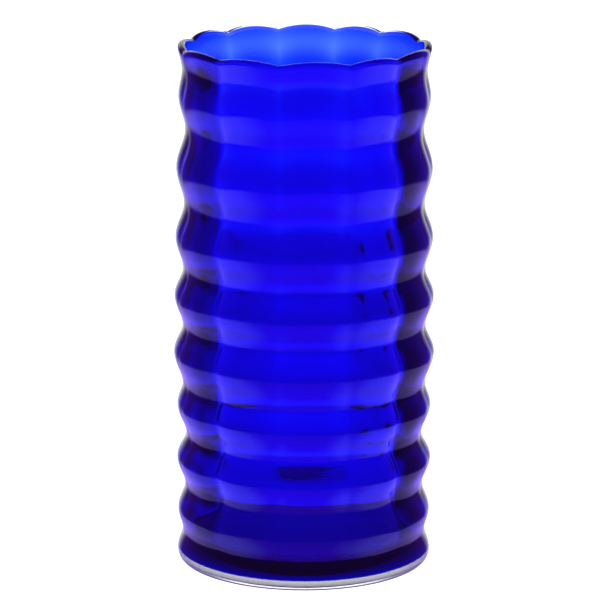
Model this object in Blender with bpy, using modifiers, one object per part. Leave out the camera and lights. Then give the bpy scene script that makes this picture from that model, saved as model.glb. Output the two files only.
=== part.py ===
"""A rippled, panelled glass cylinder vase, made as two nested layers of glass.

clear_casing is the clear outer layer with the thick clear base. cobalt_lining is the blue inner
layer with a thick bottom of its own. The wall swells and narrows in nine level ripples, and
twelve shallow upright creases of uneven spacing divide it into panels and scallop the rim.
Metres, +Z up. The origin is the middle of the flat underside.
"""

import math

import bpy

# Overall size
HEIGHT = 0.252
MEAN_RADIUS = 0.0597

# Where the outside wall turns, from the rim down: rim, then waist and crest by turns, then heel
TURNING_POINTS = (
    (HEIGHT, 0.0605),
    (0.2392, 0.0584),
    (0.2268, 0.0601),
    (0.2109, 0.0570),
    (0.1923, 0.0613),
    (0.1748, 0.0577),
    (0.1587, 0.0618),
    (0.1433, 0.0583),
    (0.1300, 0.0624),
    (0.1157, 0.0586),
    (0.1023, 0.0628),
    (0.0869, 0.0587),
    (0.0764, 0.0613),
    (0.0619, 0.0571),
    (0.0501, 0.0615),
    (0.0367, 0.0577),
    (0.0243, 0.0611),
    (0.0141, 0.0589),
    (0.0042, 0.0614),
)

# Layers, measured inwards from the outside wall. The ripples grow weaker inwards and sit lower.
CASING_WALL = 0.0034
FUSED_GAP = 0.0004
WALL = 0.0056
RIM_THINNING = 0.30
RIM_TAPER = 0.020
RIPPLE_SHARE_CAVITY = 0.95
RIPPLE_SHARE_INSIDE = 0.70
RIPPLE_DROP_CAVITY = 0.0015
RIPPLE_DROP_INSIDE = 0.0030
FOOT_CASING_SHARE = 0.30
FOOT_CASING_REACH = (0.006, 0.030)

# Base
FOOT_RADIUS = 0.0588
CLEAR_BASE = 0.0044
INSIDE_FLOOR = 0.0110
CASING_CORNER = 0.0015
INSIDE_CORNER = 0.0080

# Panels between the creases: widths in degrees, anticlockwise seen from above
FIRST_CREASE = -139
PANEL_WIDTHS = (28, 37, 30, 32, 33, 28, 31, 28, 32, 25, 28, 28)
CREASE_DEPTH = 0.0014
CREASE_SHARES = (1.0, 0.6, 0.3, 1.9, 0.6, 0.6, 1.9, 0.3, 0.6, 0.8, 0.8, 0.8)
CREASE_SHARE_INSIDE = 0.10
CREASE_FADE = (0.008, 0.045)
RIM_SCALLOP = 0.0020

# Fineness of the solids
STEPS_PER_PANEL = 4
OUTSIDE_SEGMENTS = 3
INSIDE_SEGMENTS = 2
ROUND_SEGMENTS = 4
MERGE_DISTANCE = 0.00001
SHARP_ANGLE = math.radians(50)


def blend(first, second, share):
    return first + (second - first) * share


def smooth_step(low, high, value):
    share = min(max((value - low) / (high - low), 0.0), 1.0)
    return share * share * (3 - 2 * share)


def outside_radius(height):
    """Radius of the outside wall before the creases: half a cosine wave between turning points."""
    for (upper, upper_radius), (lower, lower_radius) in zip(TURNING_POINTS, TURNING_POINTS[1:]):
        if height >= lower:
            share = min(max((upper - height) / (upper - lower), 0.0), 1.0)
            return blend(upper_radius, lower_radius, (1 - math.cos(math.pi * share)) / 2)
    return TURNING_POINTS[-1][1]


def layer_radius(height, depth, ripple_share, ripple_drop):
    """Radius of a surface inside the wall. The whole wall thins towards the rim."""
    ripple = outside_radius(height + ripple_drop) - MEAN_RADIUS
    thinning = 1 - RIM_THINNING * smooth_step(HEIGHT - RIM_TAPER, HEIGHT, height)
    return MEAN_RADIUS + ripple_share * ripple - depth * thinning


def wall_heights(segments, top, bottom, ripple_drop):
    """Heights from top to bottom that divide each half ripple into equal segments."""
    inner = []
    for (upper, _), (lower, _) in zip(TURNING_POINTS, TURNING_POINTS[1:]):
        inner += [blend(upper, lower, step / segments) - ripple_drop for step in range(segments)]
    margin = 0.001
    inner = [height for height in inner if bottom + margin < height < top - margin]
    return [top, *inner, bottom]


def wall_points(depth, ripple_share, ripple_drop, segments, top, bottom):
    """(radius, height) down a surface of the wall."""
    heights = wall_heights(segments, top, bottom, ripple_drop)
    return [(layer_radius(height, depth, ripple_share, ripple_drop), height) for height in heights]


def cavity_points(gap, top, bottom):
    """Down the surface between the layers, moved inwards by a gap. The casing thins towards the foot."""
    points = []
    for height in wall_heights(INSIDE_SEGMENTS, top, bottom, RIPPLE_DROP_CAVITY):
        casing = CASING_WALL * blend(FOOT_CASING_SHARE, 1.0, smooth_step(*FOOT_CASING_REACH, height))
        radius = layer_radius(height, casing, RIPPLE_SHARE_CAVITY, RIPPLE_DROP_CAVITY)
        points.append((radius - gap, height))
    return points


def arc_points(centre, radii, start, end):
    """Points between the ends of an elliptical arc, both ends left out. Angles in degrees."""
    points = []
    for step in range(1, ROUND_SEGMENTS):
        angle = math.radians(blend(start, end, step / ROUND_SEGMENTS))
        points.append((centre[0] + radii[0] * math.cos(angle), centre[1] + radii[1] * math.sin(angle)))
    return points


def lip_points(inner_radius, outer_radius, top):
    """The rounded lip from the inner wall over to the outer wall, both ends left out."""
    half = (outer_radius - inner_radius) / 2
    return arc_points((inner_radius + half, top - half), (half, half), 180, 0)


def floor_points(wall_end, corner, floor):
    """The axis, then out along a level floor and round the corner, up to the wall's lower end."""
    centre = (wall_end[0] - corner, floor + corner)
    return [(0.0, floor), (centre[0], floor), *arc_points(centre, (corner, corner), -90, 0)]


def casing_profile():
    """From the axis out along the cavity, over the lip, down the outside and back under the base."""
    lip = CASING_WALL * (1 - RIM_THINNING) / 2
    outside = wall_points(0.0, 1.0, 0.0, OUTSIDE_SEGMENTS, HEIGHT - lip, TURNING_POINTS[-1][0])
    cavity = cavity_points(0.0, HEIGHT - lip, CLEAR_BASE + CASING_CORNER)
    heel_radius, heel_height = outside[-1]
    heel = arc_points((FOOT_RADIUS, heel_height), (heel_radius - FOOT_RADIUS, heel_height), 0, -90)
    return [
        *floor_points(cavity[-1], CASING_CORNER, CLEAR_BASE),
        *reversed(cavity),
        *lip_points(cavity[0][0], outside[0][0], HEIGHT),
        *outside,
        *heel,
        (FOOT_RADIUS, 0.0),
        (0.0, 0.0),
    ]


def lining_profile():
    """From the axis out along the inside, over the lip, down the blue wall and back under its bottom."""
    lip = ((WALL - CASING_WALL) * (1 - RIM_THINNING) - FUSED_GAP) / 2
    underside = CLEAR_BASE + FUSED_GAP
    corner = CASING_CORNER - FUSED_GAP
    blue = cavity_points(FUSED_GAP, HEIGHT - lip, underside + corner)
    inside_bottom = INSIDE_FLOOR + INSIDE_CORNER
    inside = wall_points(
        WALL, RIPPLE_SHARE_INSIDE, RIPPLE_DROP_INSIDE, INSIDE_SEGMENTS, HEIGHT - lip, inside_bottom
    )
    blue_corner = floor_points(blue[-1], corner, underside)
    return [
        *floor_points(inside[-1], INSIDE_CORNER, INSIDE_FLOOR),
        *reversed(inside),
        *lip_points(inside[0][0], blue[0][0], HEIGHT),
        *blue,
        *reversed(blue_corner),
    ]


def turned_mesh(name, profile):
    """The mesh of a profile turned round the Z axis, with the same number of steps to each panel."""
    outline = bpy.data.meshes.new(name + "_outline")
    vertices = [(radius, 0.0, height) for radius, height in profile]
    edges = [(index, index + 1) for index in range(len(profile) - 1)]
    outline.from_pydata(vertices, edges, [])
    source = bpy.data.objects.new(name + "_outline", outline)
    bpy.context.scene.collection.objects.link(source)
    screw = source.modifiers.new("Turn", "SCREW")
    screw.steps = len(PANEL_WIDTHS) * STEPS_PER_PANEL
    screw.render_steps = screw.steps
    screw.use_merge_vertices = True
    screw.merge_threshold = MERGE_DISTANCE
    evaluated = source.evaluated_get(bpy.context.evaluated_depsgraph_get())
    mesh = bpy.data.meshes.new_from_object(evaluated)
    mesh.name = name
    bpy.data.objects.remove(source)
    bpy.data.meshes.remove(outline)
    return mesh


def panel_place(angle):
    """Where an evenly turned angle goes among the uneven panels, how near it is to a crease, and which.

    The nearness goes from 0 in the middle of a panel to 1 at a crease.
    """
    turn = (math.degrees(angle) % 360) / 360 * len(PANEL_WIDTHS)
    panel = int(turn + 1e-6) % len(PANEL_WIDTHS)
    across = max(turn - int(turn + 1e-6), 0.0)
    # FIRST_CREASE is measured from -Y
    placed = FIRST_CREASE + sum(PANEL_WIDTHS[:panel]) + across * PANEL_WIDTHS[panel]
    crease = panel if across < 0.5 else (panel + 1) % len(PANEL_WIDTHS)
    return math.radians(placed - 90), (2 * across - 1) ** 2, crease


def press_panels(mesh):
    """Spaces the panels out and presses the creases in, deepest outside and fading at the heel."""
    for vertex in mesh.vertices:
        x, y, height = vertex.co
        radius = math.hypot(x, y)
        if radius < MERGE_DISTANCE:
            continue
        angle, nearness, crease = panel_place(math.atan2(y, x))
        into_wall = min(max((outside_radius(height) - radius) / WALL, 0.0), 1.0)
        depth = CREASE_DEPTH * CREASE_SHARES[crease] * blend(1.0, CREASE_SHARE_INSIDE, into_wall)
        radius -= depth * smooth_step(*CREASE_FADE, height) * nearness
        height -= RIM_SCALLOP * (height / HEIGHT) ** 2 * nearness
        vertex.co = (radius * math.cos(angle), radius * math.sin(angle), height)


def glass(name, colour, roughness):
    """A clear or coloured glass material."""
    material = bpy.data.materials.new(name)
    material.use_nodes = True
    shader = material.node_tree.nodes["Principled BSDF"]
    shader.inputs["Base Color"].default_value = (*colour, 1.0)
    shader.inputs["Roughness"].default_value = roughness
    shader.inputs["Metallic"].default_value = 0.0
    shader.inputs["IOR"].default_value = 1.5
    shader.inputs["Transmission Weight"].default_value = 1.0
    material.diffuse_color = (*colour, 1.0)
    return material


def make_layer(name, profile, material, collection):
    """One glass layer as its own object."""
    mesh = turned_mesh(name, profile)
    press_panels(mesh)
    mesh.materials.append(material)
    mesh.shade_smooth()
    mesh.set_sharp_from_angle(angle=SHARP_ANGLE)
    layer = bpy.data.objects.new(name, mesh)
    collection.objects.link(layer)
    return layer


def clear_scene():
    for thing in list(bpy.data.objects):
        bpy.data.objects.remove(thing)


def main():
    clear_scene()
    collection = bpy.data.collections.new("glass_vase")
    bpy.context.scene.collection.children.link(collection)
    clear_glass = glass("clear_glass", (0.95, 0.96, 1.0), 0.02)
    cobalt_glass = glass("cobalt_glass", (0.01, 0.02, 0.85), 0.02)
    make_layer("clear_casing", casing_profile(), clear_glass, collection)
    make_layer("cobalt_lining", lining_profile(), cobalt_glass, collection)


main()
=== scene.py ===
"""Looks of the rippled glass vase: fine meshes of its two glass layers, their glass and the studio."""

import math

import bpy
import numpy as np
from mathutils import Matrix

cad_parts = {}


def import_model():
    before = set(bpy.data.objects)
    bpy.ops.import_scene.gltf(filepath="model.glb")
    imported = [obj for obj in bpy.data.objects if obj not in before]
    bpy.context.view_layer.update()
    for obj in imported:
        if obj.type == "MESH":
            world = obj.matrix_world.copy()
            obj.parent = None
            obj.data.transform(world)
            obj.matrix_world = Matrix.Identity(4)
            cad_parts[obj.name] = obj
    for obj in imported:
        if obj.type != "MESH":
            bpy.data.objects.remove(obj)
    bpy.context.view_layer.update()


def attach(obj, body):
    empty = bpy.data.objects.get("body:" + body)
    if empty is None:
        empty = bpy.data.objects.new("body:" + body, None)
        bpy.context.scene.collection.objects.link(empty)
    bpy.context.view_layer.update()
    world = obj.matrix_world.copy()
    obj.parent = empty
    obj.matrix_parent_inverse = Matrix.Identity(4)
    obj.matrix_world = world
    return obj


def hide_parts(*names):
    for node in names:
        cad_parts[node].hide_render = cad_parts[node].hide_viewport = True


# Overall size and ripples, as in part.py: (height, radius) where the outside wall turns
HEIGHT = 0.252
MEAN_RADIUS = 0.0597
TURNING_POINTS = (
    (HEIGHT, 0.0605),
    (0.2392, 0.0584),
    (0.2268, 0.0601),
    (0.2109, 0.0570),
    (0.1923, 0.0613),
    (0.1748, 0.0577),
    (0.1587, 0.0618),
    (0.1433, 0.0583),
    (0.1300, 0.0624),
    (0.1157, 0.0586),
    (0.1023, 0.0628),
    (0.0869, 0.0587),
    (0.0764, 0.0613),
    (0.0619, 0.0571),
    (0.0501, 0.0615),
    (0.0367, 0.0577),
    (0.0243, 0.0611),
    (0.0141, 0.0589),
    (0.0042, 0.0614),
)
HEEL_HEIGHT = TURNING_POINTS[-1][0]

# Layers, measured inwards from the outside wall
CASING_WALL = 0.0034
WALL = 0.0056
RIM_THINNING = 0.30
RIM_TAPER = 0.020
RIPPLE_SHARE_CAVITY = 0.95
RIPPLE_SHARE_INSIDE = 0.70
RIPPLE_DROP_INSIDE = 0.0030
RIPPLE_DROP_CAVITY = 0.0015
FOOT_CASING_SHARE = 0.30
FOOT_CASING_REACH = (0.006, 0.030)
# How far the blue mesh stays inside the clear skin, on its open side and at the rim
SKIN = 0.00002
RIM_SKIN = 0.0006

# Base
FOOT_RADIUS = 0.0588
CLEAR_BASE = 0.0044
INSIDE_FLOOR = 0.0110
CASING_CORNER = 0.0015
INSIDE_CORNER = 0.0080

# Panels between the creases: widths in degrees, anticlockwise seen from above
FIRST_CREASE = -139
PANEL_WIDTHS = (28, 37, 30, 32, 33, 28, 31, 28, 32, 25, 28, 28)
CREASE_DEPTH = 0.0014
CREASE_SHARES = (1.0, 0.6, 0.3, 1.9, 0.6, 0.6, 1.9, 0.3, 0.6, 0.8, 0.8, 0.8)
CREASE_SHARE_INSIDE = 0.10
CREASE_FADE = (0.008, 0.045)
RIM_SCALLOP = 0.0020

# Clear glass: satin on a ring of the flat underside, and the slight waves of a blown surface
CLEAR_IOR = 1.5
RING_ROUGHNESS = 0.95
RING_RADII = (0.037, 0.057)
RING_TOP = 0.0003
WAVE_SCALE = 45
WAVE_DEPTH = 0.00004

# Cobalt glass: what it absorbs, and its faint upright streaks. The clear skin does all the bending
# of light, so the blue has none of its own.
COBALT_IOR = 1.0
COBALT_COLOUR = (0.02, 0.33, 0.935, 1.0)
COBALT_DENSITY = 2900
STREAK_SCALE = (90.0, 90.0, 14.0)
STREAK_TINT = (0.90, 0.93, 1.0)

# The studio, as (degrees, brightness). Degrees round the vase run from 0 straight behind it to 180 at
# the camera, the same on both sides, and degrees up run from -90 straight down to 90 overhead.
# Directions and strengths were tuned to the photo, and the two sets below aren't one real room.
WHITE_LIGHT = 1.15
WHITE = (1.0, 1.0, 1.0)
# Seen through the glass: white all round, but for a dark gap on each side of what stands behind. The
# gaps fade out between two angles below the horizon.
THROUGH_LIGHT = 2.2
THROUGH_ROUND = (
    (20, 1.0),
    (38, 0.25),
    (48, 0.05),
    (58, 0.04),
    (76, 0.35),
    (100, 1.0),
    (180, 1.0),
)
THROUGH_UP = (
    (-90, 1.3),
    (-60, 0.9),
    (-45, 0.7),
    (-22, 0.78),
    (-8, 0.95),
    (2, 0.95),
    (20, 0.65),
    (90, 0.35),
)
GAP_UP = ((-90, 0.0), (-42, 0.0), (-26, 1.0), (90, 1.0))
# Mirrored in the glass: a white box behind the vase, dim violet round it, and a bright table below,
# which is bluer towards the camera
MIRRORED_DARK = (0.13, 0.03, 0.55)
BOX_ROUND = ((14, 1.0), (36, 0.0), (180, 0.0))
BOX_UP = ((-90, 0.0), (-35, 0.0), (-22, 1.0), (15, 1.0), (35, 0.0), (90, 0.0))
TABLE_FRONT = (0.32, 0.05, 1.1)
TABLE_SIDE = (0.66, 0.44, 1.7)
TABLE_SIDE_ROUND = ((105, 1.0), (150, 0.0), (180, 0.0))
TABLE_UP = ((-90, 1.0), (-20, 1.0), (-14, 0.0), (90, 0.0))

# The floor, which only the camera sees
FLOOR_HALF = 6.0
FLOOR_DROP = 0.0002
FLOOR_GREY = 0.8

# The camera, at the photo's angle: degrees it looks down and leans
CAMERA_PLACE = (-0.0020, -1.650, 0.520)
CAMERA_DOWN = 13.4
CAMERA_LEAN = 0.14
LENS = 212.1

# Fineness of the meshes
STEPS_PER_PANEL = 15
ROW_HEIGHT = 0.0011
ROUND_SEGMENTS = 10
FLOOR_RINGS = 16
MERGE_DISTANCE = 0.00001
# The flat facets of the CAD model cut inside the true curve, and the fine mesh stays inside them
FACET_SHARE = 0.9975


def blend(first, second, share):
    return first + (second - first) * share


def smooth_step(low, high, value):
    share = np.clip((value - low) / (high - low), 0.0, 1.0)
    return share * share * (3 - 2 * share)


def outside_radius(height):
    """Radius of the outside wall before the creases: half a cosine wave between turning points."""
    height = np.asarray(height, float)
    radius = np.full(height.shape, TURNING_POINTS[-1][1])
    for (upper, upper_radius), (lower, lower_radius) in zip(TURNING_POINTS, TURNING_POINTS[1:]):
        share = np.clip((upper - height) / (upper - lower), 0.0, 1.0)
        wave = blend(upper_radius, lower_radius, (1 - np.cos(math.pi * share)) / 2)
        radius = np.where((height >= lower) & (height <= upper), wave, radius)
    return np.where(height > HEIGHT, TURNING_POINTS[0][1], radius)


def layer_radius(height, depth, ripple_share, ripple_drop):
    """Radius of a surface inside the wall, with weaker ripples that sit lower than the outside ones."""
    ripple = outside_radius(np.minimum(height + ripple_drop, HEIGHT)) - MEAN_RADIUS
    thinning = 1 - RIM_THINNING * smooth_step(HEIGHT - RIM_TAPER, HEIGHT, height)
    return MEAN_RADIUS + ripple_share * ripple - depth * thinning


def row_heights(top, bottom):
    return np.linspace(top, bottom, int((top - bottom) / ROW_HEIGHT) + 1)


def outside_points(top):
    """(radius, height) down the outside wall, from a height to the heel."""
    heights = row_heights(top, HEEL_HEIGHT)
    return [(float(layer_radius(height, 0.0, 1.0, 0.0)), float(height)) for height in heights]


def inside_points(top, depth):
    """Down the inside wall, from a height to the rounded corner of the inside floor."""
    points = []
    for height in row_heights(top, INSIDE_FLOOR + INSIDE_CORNER):
        radius = layer_radius(height, depth, RIPPLE_SHARE_INSIDE, RIPPLE_DROP_INSIDE)
        points.append((float(radius), float(height)))
    return points


def cavity_points(top):
    """Down the surface between the clear and the blue. The clear thins towards the foot."""
    points = []
    for height in row_heights(top, CLEAR_BASE + CASING_CORNER):
        depth = CASING_WALL * blend(FOOT_CASING_SHARE, 1.0, smooth_step(*FOOT_CASING_REACH, height))
        radius = layer_radius(height, depth, RIPPLE_SHARE_CAVITY, RIPPLE_DROP_CAVITY)
        points.append((float(radius), float(height)))
    return points


def arc_points(centre, radii, start, end):
    """Along an arc between two angles in degrees, without its ends."""
    points = []
    for step in range(1, ROUND_SEGMENTS):
        angle = math.radians(blend(start, end, step / ROUND_SEGMENTS))
        points.append((centre[0] + radii[0] * math.cos(angle), centre[1] + radii[1] * math.sin(angle)))
    return points


def lip_points(inner_radius, outer_radius, top):
    """Over the rounded rim, from the inside to the outside."""
    half = (outer_radius - inner_radius) / 2
    return arc_points((inner_radius + half, top - half), (half, half), 180, 0)


def disc_points(radius, height):
    """Rings from the axis out to the radius, at one height."""
    return [(radius * step / FLOOR_RINGS, height) for step in range(FLOOR_RINGS + 1)]


def floor_points(wall_end, corner, floor):
    """Out from the axis along a flat floor and round the corner to the foot of a wall."""
    centre = (wall_end[0] - corner, floor + corner)
    return [*disc_points(centre[0], floor), *arc_points(centre, (corner, corner), -90, 0)]


def envelope_profile():
    """The whole vase's skin: out along the inside floor, up, over the lip, down and back underneath."""
    lip = WALL * (1 - RIM_THINNING) / 2
    outside = outside_points(HEIGHT - lip)
    inside = inside_points(HEIGHT - lip, WALL)
    heel_radius, heel_height = outside[-1]
    heel = arc_points((FOOT_RADIUS, heel_height), (heel_radius - FOOT_RADIUS, heel_height), 0, -90)
    return [
        *floor_points(inside[-1], INSIDE_CORNER, INSIDE_FLOOR),
        *reversed(inside),
        *lip_points(inside[0][0], outside[0][0], HEIGHT),
        *outside,
        *heel,
        *reversed(disc_points(FOOT_RADIUS, 0.0)),
    ]


def lining_profile():
    """The blue layer, a hair inside the skin on its open side."""
    lip = (WALL - CASING_WALL) * (1 - RIM_THINNING) / 2
    top = HEIGHT - RIM_SKIN
    blue = cavity_points(top - lip)
    inside = inside_points(top - lip, WALL - SKIN)
    return [
        *floor_points(inside[-1], INSIDE_CORNER, INSIDE_FLOOR - SKIN),
        *reversed(inside),
        *lip_points(inside[0][0], blue[0][0], top),
        *blue,
        *reversed(floor_points(blue[-1], CASING_CORNER, CLEAR_BASE)),
    ]


def turned_mesh(name, profile):
    """The mesh of a profile turned round the Z axis, with the same number of steps to each panel."""
    outline = bpy.data.meshes.new(name + "_outline")
    vertices = [(radius, 0.0, height) for radius, height in profile]
    edges = [(index, index + 1) for index in range(len(profile) - 1)]
    outline.from_pydata(vertices, edges, [])
    source = bpy.data.objects.new(name + "_outline", outline)
    bpy.context.scene.collection.objects.link(source)
    screw = source.modifiers.new("Turn", "SCREW")
    screw.steps = len(PANEL_WIDTHS) * STEPS_PER_PANEL
    screw.render_steps = screw.steps
    screw.use_merge_vertices = True
    screw.merge_threshold = MERGE_DISTANCE
    evaluated = source.evaluated_get(bpy.context.evaluated_depsgraph_get())
    mesh = bpy.data.meshes.new_from_object(evaluated)
    mesh.name = name
    bpy.data.objects.remove(source)
    bpy.data.meshes.remove(outline)
    return mesh


def panel_place(angle):
    """Where an evenly turned angle goes among the uneven panels, how near a crease it is, from 0
    mid-panel to 1, and the share of the depth that the nearest crease has."""
    widths = np.array(PANEL_WIDTHS, float)
    starts = np.concatenate([[0.0], np.cumsum(widths)[:-1]])
    turn = (np.degrees(angle) % 360) / 360 * len(widths)
    panel = np.floor(turn + 1e-6).astype(int) % len(widths)
    across = np.clip(turn - np.floor(turn + 1e-6), 0.0, 1.0)
    placed = FIRST_CREASE + starts[panel] + across * widths[panel]
    shares = np.array(CREASE_SHARES)
    nearest = np.where(across < 0.5, shares[panel], shares[(panel + 1) % len(shares)])
    return np.radians(placed - 90), (2 * across - 1) ** 2, nearest


def press_panels(mesh):
    """Spaces the panels out and presses the creases in, deepest outside and fading at the heel."""
    places = np.empty(len(mesh.vertices) * 3, np.float32)
    mesh.vertices.foreach_get("co", places)
    places = places.reshape(-1, 3).astype(float)
    radius = np.hypot(places[:, 0], places[:, 1])
    height = places[:, 2]
    angle, nearness, share = panel_place(np.arctan2(places[:, 1], places[:, 0]))
    into_wall = np.clip((outside_radius(height) - radius) / WALL, 0.0, 1.0)
    depth = CREASE_DEPTH * blend(1.0, CREASE_SHARE_INSIDE, into_wall)
    pressed = radius - depth * smooth_step(*CREASE_FADE, height) * share * nearness
    radius = np.where(radius > MERGE_DISTANCE, pressed, 0.0) * FACET_SHARE
    height = height - RIM_SCALLOP * (np.maximum(height, 0) / HEIGHT) ** 2 * nearness
    places = np.stack([radius * np.cos(angle), radius * np.sin(angle), height], 1)
    mesh.vertices.foreach_set("co", places.astype(np.float32).reshape(-1))
    mesh.update()


def add_math(nodes, links, operation, *values):
    """A math node. Each value is a number or an output socket."""
    node = nodes.new("ShaderNodeMath")
    node.operation = operation
    for socket, value in zip(node.inputs, values):
        if isinstance(value, (int, float)):
            socket.default_value = value
        else:
            links.new(value, socket)
    return node.outputs[0]


def add_mix(nodes, links, share, first, second):
    """A colour mix. Each of the three is a colour or an output socket."""
    node = nodes.new("ShaderNodeMix")
    node.data_type = "RGBA"
    for socket, value in zip((node.inputs[0], node.inputs[6], node.inputs[7]), (share, first, second)):
        if isinstance(value, tuple):
            socket.default_value = (*value, 1.0)
        else:
            links.new(value, socket)
    return node.outputs[2]


def add_ramp(nodes, links, degrees, stops):
    """Brightness along an angle in degrees, eased between the stops."""
    lowest, highest = stops[0][0], stops[-1][0]
    share = nodes.new("ShaderNodeMapRange")
    share.inputs["From Min"].default_value = lowest
    share.inputs["From Max"].default_value = highest
    links.new(degrees, share.inputs["Value"])
    ramp = nodes.new("ShaderNodeValToRGB")
    ramp.color_ramp.interpolation = "EASE"
    elements = ramp.color_ramp.elements
    while len(elements) < len(stops):
        elements.new(1.0)
    for element, (angle, brightness) in zip(elements, stops):
        element.position = (angle - lowest) / (highest - lowest)
        element.color = (brightness, brightness, brightness, 1.0)
    links.new(share.outputs["Result"], ramp.inputs[0])
    return ramp.outputs["Color"]


def add_noise(nodes, links, place, scale, detail):
    noise = nodes.new("ShaderNodeTexNoise")
    noise.inputs["Scale"].default_value = scale
    noise.inputs["Detail"].default_value = detail
    links.new(place, noise.inputs["Vector"])
    return noise.outputs[0]


def both_sides(stops):
    """Stops given from 0 to 180 degrees, for the whole way round from -180."""
    return [*((-angle, brightness) for angle, brightness in reversed(stops)), *stops]


def clear_glass():
    material = bpy.data.materials.new("clear_glass")
    material.use_nodes = True
    nodes = material.node_tree.nodes
    links = material.node_tree.links
    shader = nodes["Principled BSDF"]
    shader.inputs["Base Color"].default_value = (1.0, 1.0, 1.0, 1.0)
    shader.inputs["IOR"].default_value = CLEAR_IOR
    shader.inputs["Transmission Weight"].default_value = 1.0
    place = nodes.new("ShaderNodeTexCoord").outputs["Object"]

    split = nodes.new("ShaderNodeSeparateXYZ")
    links.new(place, split.inputs[0])
    across = add_math(nodes, links, "MULTIPLY", split.outputs["X"], split.outputs["X"])
    along = add_math(nodes, links, "MULTIPLY", split.outputs["Y"], split.outputs["Y"])
    from_axis = add_math(nodes, links, "SQRT", add_math(nodes, links, "ADD", across, along))
    underside = add_math(nodes, links, "LESS_THAN", split.outputs["Z"], RING_TOP)
    past_inner = add_math(nodes, links, "GREATER_THAN", from_axis, RING_RADII[0])
    within_outer = add_math(nodes, links, "LESS_THAN", from_axis, RING_RADII[1])
    between = add_math(nodes, links, "MULTIPLY", past_inner, within_outer)
    ring = add_math(nodes, links, "MULTIPLY", underside, between)
    satin = add_math(nodes, links, "MULTIPLY", ring, RING_ROUGHNESS)
    links.new(satin, shader.inputs["Roughness"])

    relief = nodes.new("ShaderNodeBump")
    relief.inputs["Strength"].default_value = 1.0
    relief.inputs["Distance"].default_value = WAVE_DEPTH
    links.new(add_noise(nodes, links, place, WAVE_SCALE, 1.0), relief.inputs["Height"])
    links.new(relief.outputs["Normal"], shader.inputs["Normal"])
    return material


def cobalt_glass():
    material = bpy.data.materials.new("cobalt_glass")
    material.use_nodes = True
    nodes = material.node_tree.nodes
    links = material.node_tree.links
    shader = nodes["Principled BSDF"]
    shader.inputs["Roughness"].default_value = 0.0
    shader.inputs["IOR"].default_value = COBALT_IOR
    shader.inputs["Transmission Weight"].default_value = 1.0

    stretch = nodes.new("ShaderNodeMapping")
    stretch.inputs["Scale"].default_value = STREAK_SCALE
    links.new(nodes.new("ShaderNodeTexCoord").outputs["Object"], stretch.inputs["Vector"])
    streaks = add_noise(nodes, links, stretch.outputs["Vector"], 1.0, 2.0)
    tint = add_mix(nodes, links, streaks, WHITE, STREAK_TINT)
    links.new(tint, shader.inputs["Base Color"])

    absorb = nodes.new("ShaderNodeVolumeAbsorption")
    absorb.inputs["Color"].default_value = COBALT_COLOUR
    absorb.inputs["Density"].default_value = COBALT_DENSITY
    links.new(absorb.outputs["Volume"], nodes["Material Output"].inputs["Volume"])
    return material


def make_layer(name, profile, material, node):
    mesh = turned_mesh(name, profile)
    press_panels(mesh)
    mesh.materials.append(material)
    mesh.shade_smooth()
    layer = bpy.data.objects.new(name, mesh)
    bpy.context.scene.collection.objects.link(layer)
    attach(layer, "root")
    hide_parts(node)


def make_floor():
    corners = [(x * FLOOR_HALF, y * FLOOR_HALF, 0) for x, y in ((-1, -1), (1, -1), (1, 1), (-1, 1))]
    mesh = bpy.data.meshes.new("floor")
    mesh.from_pydata(corners, [], [(0, 1, 2, 3)])
    floor = bpy.data.objects.new("floor", mesh)
    bpy.context.scene.collection.objects.link(floor)
    floor.location.z = -FLOOR_DROP
    material = bpy.data.materials.new("light_table")
    material.use_nodes = True
    shader = material.node_tree.nodes["Principled BSDF"]
    shader.inputs["Base Color"].default_value = (FLOOR_GREY, FLOOR_GREY, FLOOR_GREY, 1.0)
    shader.inputs["Roughness"].default_value = 0.9
    shader.inputs["Specular IOR Level"].default_value = 0.0
    shader.inputs["Emission Color"].default_value = (1.0, 1.0, 1.0, 1.0)
    shader.inputs["Emission Strength"].default_value = WHITE_LIGHT
    mesh.materials.append(material)
    floor.visible_glossy = False
    floor.visible_transmission = False


def through_light(nodes, links, turn, rise):
    """What lies behind the glass."""
    round_vase = add_ramp(nodes, links, turn, both_sides(THROUGH_ROUND))
    in_gaps = add_ramp(nodes, links, rise, GAP_UP)
    walls = add_mix(nodes, links, in_gaps, WHITE, round_vase)
    upwards = add_ramp(nodes, links, rise, THROUGH_UP)
    shone = add_math(nodes, links, "MULTIPLY", walls, upwards)
    return add_math(nodes, links, "MULTIPLY", shone, THROUGH_LIGHT)


def mirrored_light(nodes, links, turn, rise):
    """What the glass mirrors."""
    box_round = add_ramp(nodes, links, turn, both_sides(BOX_ROUND))
    box_up = add_ramp(nodes, links, rise, BOX_UP)
    box_share = add_math(nodes, links, "MULTIPLY", box_round, box_up)
    box = add_mix(nodes, links, box_share, MIRRORED_DARK, WHITE)
    side_share = add_ramp(nodes, links, turn, both_sides(TABLE_SIDE_ROUND))
    table = add_mix(nodes, links, side_share, TABLE_FRONT, TABLE_SIDE)
    table_share = add_ramp(nodes, links, rise, TABLE_UP)
    return add_mix(nodes, links, table_share, box, table)


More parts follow.
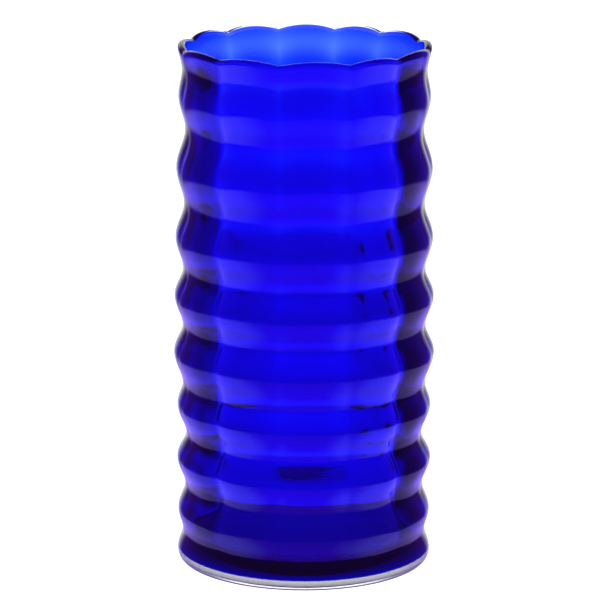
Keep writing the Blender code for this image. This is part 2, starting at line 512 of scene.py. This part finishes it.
def make_world():
    """Plain white to the camera, and the two sets of lights to the glass, by direction."""
    world = bpy.data.worlds.new("studio")
    bpy.context.scene.world = world
    world.use_nodes = True
    nodes = world.node_tree.nodes
    links = world.node_tree.links
    nodes.clear()
    split = nodes.new("ShaderNodeSeparateXYZ")
    links.new(nodes.new("ShaderNodeTexCoord").outputs["Generated"], split.inputs[0])
    left = add_math(nodes, links, "MULTIPLY", split.outputs["X"], -1.0)
    turn_radians = add_math(nodes, links, "ARCTAN2", left, split.outputs["Y"])
    turn = add_math(nodes, links, "MULTIPLY", turn_radians, math.degrees(1))
    rise_radians = add_math(nodes, links, "ARCSINE", split.outputs["Z"])
    rise = add_math(nodes, links, "MULTIPLY", rise_radians, math.degrees(1))

    through = through_light(nodes, links, turn, rise)
    mirrored = mirrored_light(nodes, links, turn, rise)
    path = nodes.new("ShaderNodeLightPath")
    in_glass = add_mix(nodes, links, path.outputs["Is Reflection Ray"], through, mirrored)
    seen = add_mix(nodes, links, path.outputs["Is Camera Ray"], in_glass, (WHITE_LIGHT,) * 3)
    background = nodes.new("ShaderNodeBackground")
    output = nodes.new("ShaderNodeOutputWorld")
    links.new(seen, background.inputs[0])
    links.new(background.outputs[0], output.inputs[0])


def make_camera():
    camera_data = bpy.data.cameras.new("camera")
    camera = bpy.data.objects.new("camera", camera_data)
    bpy.context.scene.collection.objects.link(camera)
    camera_data.lens = LENS
    camera_data.sensor_width = 36.0
    camera_data.clip_end = 100
    camera.location = CAMERA_PLACE
    camera.rotation_euler = (math.radians(90 - CAMERA_DOWN), 0.0, 0.0)
    camera.rotation_euler.rotate_axis("Z", math.radians(CAMERA_LEAN))
    bpy.context.scene.camera = camera


def main():
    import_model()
    scene = bpy.context.scene
    scene.view_settings.view_transform = "Standard"
    scene.cycles.max_bounces = 32
    scene.cycles.transmission_bounces = 32
    scene.cycles.glossy_bounces = 16
    make_camera()
    make_world()
    make_floor()
    make_layer("clear_casing_glass", envelope_profile(), clear_glass(), "clear_casing")
    make_layer("cobalt_lining_glass", lining_profile(), cobalt_glass(), "cobalt_lining")


main()
